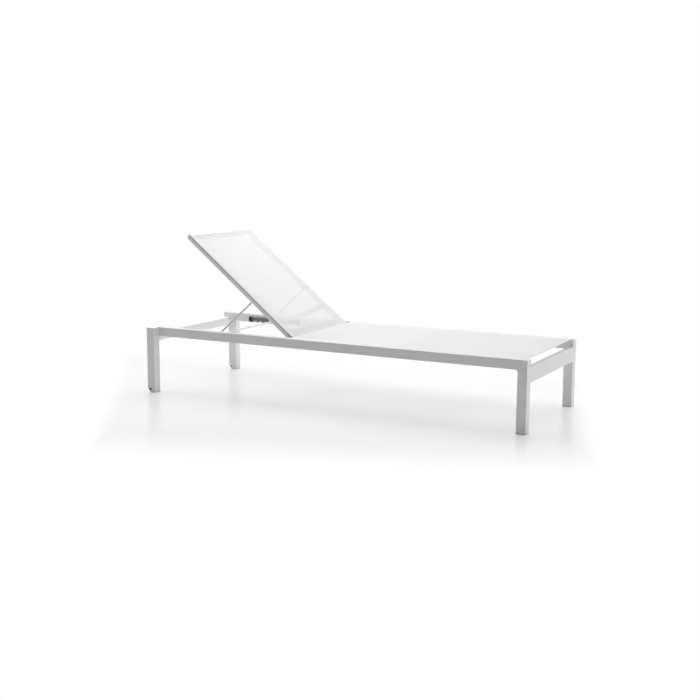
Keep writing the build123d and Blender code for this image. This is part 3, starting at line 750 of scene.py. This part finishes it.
# The band goes from the cord round the tube's lower fold and up to where the sheet's own fold starts
BACK_TOP = 0.3295
BACK_FLAT_Y, BACK_TUBE_Y = 0.272, 0.2520
LOW_FOLD = 0.0008
low_fold_centre = (-BACK_EDGE_Y + LOW_FOLD, BACK_CORD_Z + LOW_FOLD)
top_fold_centre = (-BACK_EDGE_Y + FOLD_RADIUS, BACK_TOP - FOLD_RADIUS)
back_wrap = [(-BACK_CORD_Y, BACK_CORD_Z), (-BACK_EDGE_Y + LOW_FOLD, BACK_CORD_Z)]
back_wrap += arc(low_fold_centre, LOW_FOLD, 270, 180, 3)[1:]
back_wrap += arc(top_fold_centre, FOLD_RADIUS, 180, 150, 2)
top_half = arc(top_fold_centre, FOLD_RADIUS, 150, 90, 4)
top_half += [(-BACK_FLAT_Y, BACK_TOP), (-BACK_EDGE_Y + POCKET_WIDTH, BACK_TOP), (-BACK_TUBE_Y, BACK_TOP)]
back_section = mirrored_section(top_half, 40)
back_cloth = cloth("back_sheet", back_section, hemmed(BACK_X0, BACK_X1, 62), back_drop, raised, MESH, "backrest")
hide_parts("back_sling")


def edge_band(side):
    """The band that wraps from the backrest's top over its side into the tube's bore."""
    section = [(y * -SIDES[side], z) for y, z in back_wrap]
    if side == "left":
        section = list(reversed(section))
    name = "back_edge_band_" + side
    return cloth(name, section, even(BACK_X0, BACK_HEM_X1, 48), still, raised, BAND_PAINTED_SHADE, "backrest")


back_bands = [edge_band(side) for side in SIDES]


def hem(name, half_width, x_edge, inward, top, place, drop, body):
    """A hem: the cloth folded round its edge and back under itself for the hem's depth, which is inward, 1 or -1,
    along X."""
    section = even(-half_width, half_width, 40)
    layer_gap = CLOTH * 1.25
    centre = top - layer_gap / 2
    path = []
    for i in range(7):
        turn = math.radians(90 + 180 * i / 6)
        across, up = math.cos(turn) * layer_gap / 2, math.sin(turn) * layer_gap / 2
        path.append((x_edge - inward * abs(across), centre + up))
    path += [(x_edge + inward * HEM_DEPTH * share, top - layer_gap) for share in (0.25, 0.5, 0.75, 1.0)]
    points, uvs = [], []
    normals = section_normals(path)
    for layer in (-0.5, 0.5):
        for (x, z), (nx, nz), run in zip(path, normals, running_lengths(path)):
            offset = layer * CLOTH * inward
            for y in section:
                points.append(place(Vector((x + nx * offset, y, z + nz * offset - drop(x_edge, y)))))
                uvs.append((y, run))
    faces = two_layer_faces(len(section), len(path), flipped=True)
    return make_piece(name, points, faces, HEM, body, uvs)


SEAT_HEM_Y, BACK_HEM_Y, TAIL_HEM_Y = 0.3040, 0.2795, 0.2495
seat_hems = [
    hem("seat_hem_head", SEAT_HEM_Y, SEAT_X0, 1.0, SEAT_TOP, as_is, seat_drop, "frame"),
    hem("seat_hem_foot", SEAT_HEM_Y, SEAT_X1, -1.0, SEAT_TOP, as_is, seat_drop, "frame"),
]
back_hems = [
    hem("back_hem_top", BACK_HEM_Y, BACK_X0, 1.0, BACK_TOP, raised, still, "backrest"),
    hem("back_hem_tail", TAIL_HEM_Y, BACK_X1, -1.0, BACK_TOP, raised, still, "backrest"),
]

STITCH_PITCH, STITCH_LENGTH, STITCH_DIVE, THREAD_RADIUS = 0.0042, 0.0030, 0.00042, 0.00015
END_SEAM, TOP_SEAM, SEAM_MARGIN = 0.0135, 0.0125, 0.004
SEAT_SEAM_Y, BACK_SEAM_Y = 0.3035, 0.2760


def stitch_row(build, start, end, place, drop):
    """A row of lock stitches between two places on the flat cloth: short threads that dive at both ends."""
    run = (end - start).length
    direction = (end - start) / run
    thin = THREAD_RADIUS * 0.6
    for i in range(int(run / STITCH_PITCH)):
        middle = start + direction * ((i + 0.5) * STITCH_PITCH)
        path = []
        for share in (-0.5, -0.34, 0.0, 0.34, 0.5):
            dive = STITCH_DIVE if abs(share) == 0.5 else 0.0
            spot = middle + direction * (share * STITCH_LENGTH)
            path.append(place(Vector((spot.x, spot.y, spot.z - dive - drop(spot.x, spot.y)))))
        build.sweep(path, [thin, THREAD_RADIUS, THREAD_RADIUS, THREAD_RADIUS, thin])


def stitches(name, body, top, hem_xs, hem_y, side_xs, side_y, place, drop):
    """The thread of a sling: a row across each hem and one along the inner edge of each side pocket."""
    build = Build()
    z = top + CLOTH / 2
    for x in hem_xs:
        stitch_row(build, Vector((x, -hem_y, z)), Vector((x, hem_y, z)), place, drop)
    for side in SIDES.values():
        y = side * side_y
        stitch_row(build, Vector((side_xs[0], y, z)), Vector((side_xs[1], y, z)), place, drop)
    return build.piece(name, THREAD, body)


seat_stitches = stitches(
    "seat_stitches", "frame", SEAT_TOP,
    (SEAT_X0 + END_SEAM, SEAT_X1 - END_SEAM), SEAT_SEAM_Y,
    (SEAT_X0 + SEAM_MARGIN, SEAT_X1 - SEAM_MARGIN), SEAT_EDGE_Y - POCKET_WIDTH, as_is, seat_drop,
)
back_stitches = stitches(
    "back_stitches", "backrest", BACK_TOP,
    (BACK_X0 + TOP_SEAM, BACK_X1 - END_SEAM), BACK_SEAM_Y,
    (BACK_X0 + SEAM_MARGIN, BACK_X1 - SEAM_MARGIN), BACK_EDGE_Y - POCKET_WIDTH, raised, back_drop,
)


# Weld beads, where tubes meet


BEAD_RADIUS, BEAD_STEP, BEAD_SINK, BEAD_REACH = 0.0011, 0.0009, 0.0002, 0.0014
RIPPLE_DEPTH, RIPPLE_NOISE, RIPPLE_POINTS = 0.16, 0.05, 3.0
RAIL_CORNER, BACK_TUBE_CORNER = 0.0017, 0.0032


def stepped(corners):
    """Points about BEAD_STEP apart along a line of (x, z) corners, without the last corner."""
    found = []
    for (ax, az), (bx, bz) in zip(corners, corners[1:]):
        count = max(1, round(math.hypot(bx - ax, bz - az) / BEAD_STEP))
        found += [(ax + (bx - ax) * i / count, az + (bz - az) * i / count) for i in range(count)]
    return found


def rounded_loop(x0, x1, z0, z1, radius):
    """Points round a rectangle with rounded corners, in (x, z), evenly spaced."""
    centres = ((x1 - radius, z1 - radius), (x0 + radius, z1 - radius),
               (x0 + radius, z0 + radius), (x1 - radius, z0 + radius))
    outline = []
    for quarter, centre in enumerate(centres):
        outline += arc(centre, radius, 90 * quarter, 90 * quarter + 90, 6)
    return stepped(outline + outline[:1])


def ripple_radii(count):
    """The bead's radius at each of its points, which swells and shrinks with each pulse of the weld."""
    found = []
    for i in range(count):
        swell = RIPPLE_DEPTH * math.sin(2 * math.pi * i / RIPPLE_POINTS)
        found.append(BEAD_RADIUS * (1 + swell + random.uniform(-RIPPLE_NOISE, RIPPLE_NOISE)))
    return found


def end_bead(build, x0, x1, z0, z1, y, place=as_is, radius=RAIL_CORNER, open_below=0.0):
    """A bead round the end of a tube that meets a face across Y, or only above open_below from its underside."""
    loop = rounded_loop(x0, x1, z0, z1, radius)
    if open_below:
        low = [i for i, (_, z) in enumerate(loop) if z < z0 + open_below]
        loop = loop[low[-1] + 1:] + loop[:low[0]]
    path = [place(Vector((x, y, z))) for x, z in loop]
    build.sweep(path, ripple_radii(len(path)), closed=not open_below)


beads = Build()
for name in ("foot_cross_rail", "hinge_spreader", "middle_spreader"):
    low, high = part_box(name)
    end_x = min(high.x, cad_high[0] - BEAD_REACH)
    for sign in SIDES.values():
        end_bead(beads, low.x, end_x, low.z, high.z, sign * (high.y - BEAD_SINK))
low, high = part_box("head_cross_rail")
for side, sign in SIDES.items():
    # The head cross rail passes under the side rail's notch, so its bead follows the leg only below the rail
    rail_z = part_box(side + "_side_rail")[0].z
    corners = [(low.x, rail_z), (low.x, low.z), (high.x, low.z), (high.x, rail_z)]
    path = [Vector((x, sign * (high.y - BEAD_SINK), z)) for x, z in stepped(corners)]
    beads.sweep(path, ripple_radii(len(path)))
beads.piece("frame_weld_beads", WELD, "frame")

# The backrest's tubes, as they lie when it is flat
BACK_INNER_Y = 0.2515
BACK_LOW_Z, BACK_HIGH_Z = 0.3037, 0.3287
TOP_TUBE_X, BOTTOM_TUBE_X = (-0.981, -0.956), (-0.266, -0.241)
TOP_TUBE_OPEN = 0.004
BOW_X, BOW_END_Z = HINGE.x - 0.159, HINGE.z - 0.0055
BOW_RADIUS, BOW_DEPTH = 0.014, 0.043
bow_arc = (BACK_INNER_Y**2 + BOW_DEPTH**2) / (2 * BOW_DEPTH)
bow_slope = math.asin(BACK_INNER_Y / bow_arc)
back_beads = Build()
for sign in SIDES.values():
    y = sign * (BACK_INNER_Y - BEAD_SINK)
    # The top tube lies down just above the head cross rail, so its bead leaves the underside free
    for tube_x, open_below in ((TOP_TUBE_X, TOP_TUBE_OPEN), (BOTTOM_TUBE_X, 0.0)):
        end_bead(back_beads, *tube_x, BACK_LOW_Z, BACK_HIGH_Z, y, raised, BACK_TUBE_CORNER, open_below)
    # The bowed tube's slanting end makes an oval on the side tube's inner face, cut off by its lower edge
    tall = BOW_RADIUS / math.cos(bow_slope)
    first = math.asin((BACK_LOW_Z - BOW_END_Z) / tall)
    count = round(tall * (math.pi - 2 * first) / BEAD_STEP)
    path = []
    for i in range(count + 1):
        turn = first + (math.pi - 2 * first) * i / count
        path.append(raised(Vector((BOW_X + BOW_RADIUS * math.cos(turn), y, BOW_END_Z + tall * math.sin(turn)))))
    back_beads.sweep(path, ripple_radii(len(path)))
back_beads.piece("backrest_weld_beads", WELD, "backrest")


# Bolts with their sockets and nuts


NUT_INSET, NUT_CHAMFER, NUT_END_SHARE = 0.0008, 0.0009, 0.93


def hex_ring(middle, axis, flats):
    """The six corners of a hexagon across the given flats."""
    u = axis.cross(Vector((0, 0, 1))).normalized()
    v = axis.cross(u)
    radius = flats / math.sqrt(3)
    turns = [math.radians(60 * k) for k in range(6)]
    return [middle + radius * (math.cos(turn) * u + math.sin(turn) * v) for turn in turns]


def hex_nut(build, middle, axis, flats, length):
    """A hexagon nut with its corners taken off at both ends."""
    small = flats * NUT_END_SHARE
    points = []
    for along, size in ((0.0, small), (NUT_CHAMFER, flats), (length - NUT_CHAMFER, flats), (length, small)):
        points += hex_ring(middle + axis * along, axis, size)
    faces = [tuple(reversed(range(6))), tuple(18 + k for k in range(6))]
    for i in range(3):
        for k in range(6):
            n = (k + 1) % 6
            faces.append((6 * i + k, 6 * i + n, 6 * i + 6 + n, 6 * i + 6 + k))
    build.add(points, faces)


def socket_bolt(node, body, sign, shank_radius, head_radius, head_length, nut_flats, nut_length):
    """A button-headed bolt with a round socket, and its hexagon nut, across the frame in place of its plain solid."""
    low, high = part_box(node)
    near, far = (low.y, high.y) if sign < 0 else (high.y, low.y)
    origin = Vector(((low.x + high.x) / 2, near, (low.z + high.z) / 2))
    axis = Vector((0, -sign, 0))
    head_end = abs(far - near)
    head_start = head_end - head_length
    socket, depth = head_radius * 0.42, head_length * 0.55
    rim, skirt = socket * 1.15, 0.0012
    profile = [(0.0, 0.0), (0.0, shank_radius * 0.86), (0.0006, shank_radius), (head_start, shank_radius),
               (head_start, head_radius * 0.97), (head_start + 0.0004, head_radius)]
    for i in range(1, 8):
        turn = math.radians(90 * i / 8)
        along = head_start + skirt + (head_length - skirt) * math.sin(turn)
        profile.append((along, rim + (head_radius - rim) * math.cos(turn)))
    profile += [(head_end, rim), (head_end - depth, socket * 1.05), (head_end - depth, 0.0)]
    build = Build()
    build.lathe(profile, origin, axis, 36)
    hex_nut(build, origin + axis * NUT_INSET, axis, nut_flats, nut_length)
    made = build.piece(node + "_turned", STEEL, body, smooth=False)
    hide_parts(node)


for side, sign in SIDES.items():
    socket_bolt(side + "_hinge_bolt", "frame", sign, 0.005, 0.009, 0.005, 0.0145, 0.0072)
    socket_bolt(side + "_prop_bolt", "backrest", sign, 0.004, 0.007, 0.0045, 0.0112, 0.0052)


# Wheels with a grooved tread and a hub
WHEEL_BORE = 0.00405
GROOVE_PITCH, GROOVE_TOP, GROOVE_FOOT, GROOVE_SHARE = 0.0045, 0.0010, 0.0006, 0.955


def turned_wheel(side):
    """A wheel with a hub, a hollow side and a tread with three grooves, in place of its plain solid."""
    node = side + "_wheel"
    low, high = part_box(node)
    middle = (low + high) / 2
    radius = (high.z - low.z) / 2
    half = (high.y - low.y) / 2
    flank = [(-half, WHEEL_BORE), (-half, WHEEL_BORE + 0.0014), (-half + 0.0014, WHEEL_BORE + 0.0018),
             (-half + 0.0014, radius * 0.70), (-half + 0.0002, radius * 0.75), (-half + 0.0006, radius * 0.87),
             (-half + 0.0024, radius * 0.97)]
    floor_radius = radius * GROOVE_SHARE
    tread = []
    for groove in (-GROOVE_PITCH, 0.0, GROOVE_PITCH):
        tread += [(groove - GROOVE_TOP, radius), (groove - GROOVE_FOOT, floor_radius),
                  (groove + GROOVE_FOOT, floor_radius), (groove + GROOVE_TOP, radius)]
    profile = flank + tread + [(-along, size) for along, size in reversed(flank)] + flank[:1]
    build = Build()
    build.lathe(profile, middle, (0, 1, 0), 56)
    made = build.piece(node + "_treaded", RUBBER, side + "_wheel_body", smooth=False)
    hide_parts(node)


for side in SIDES:
    turned_wheel(side)
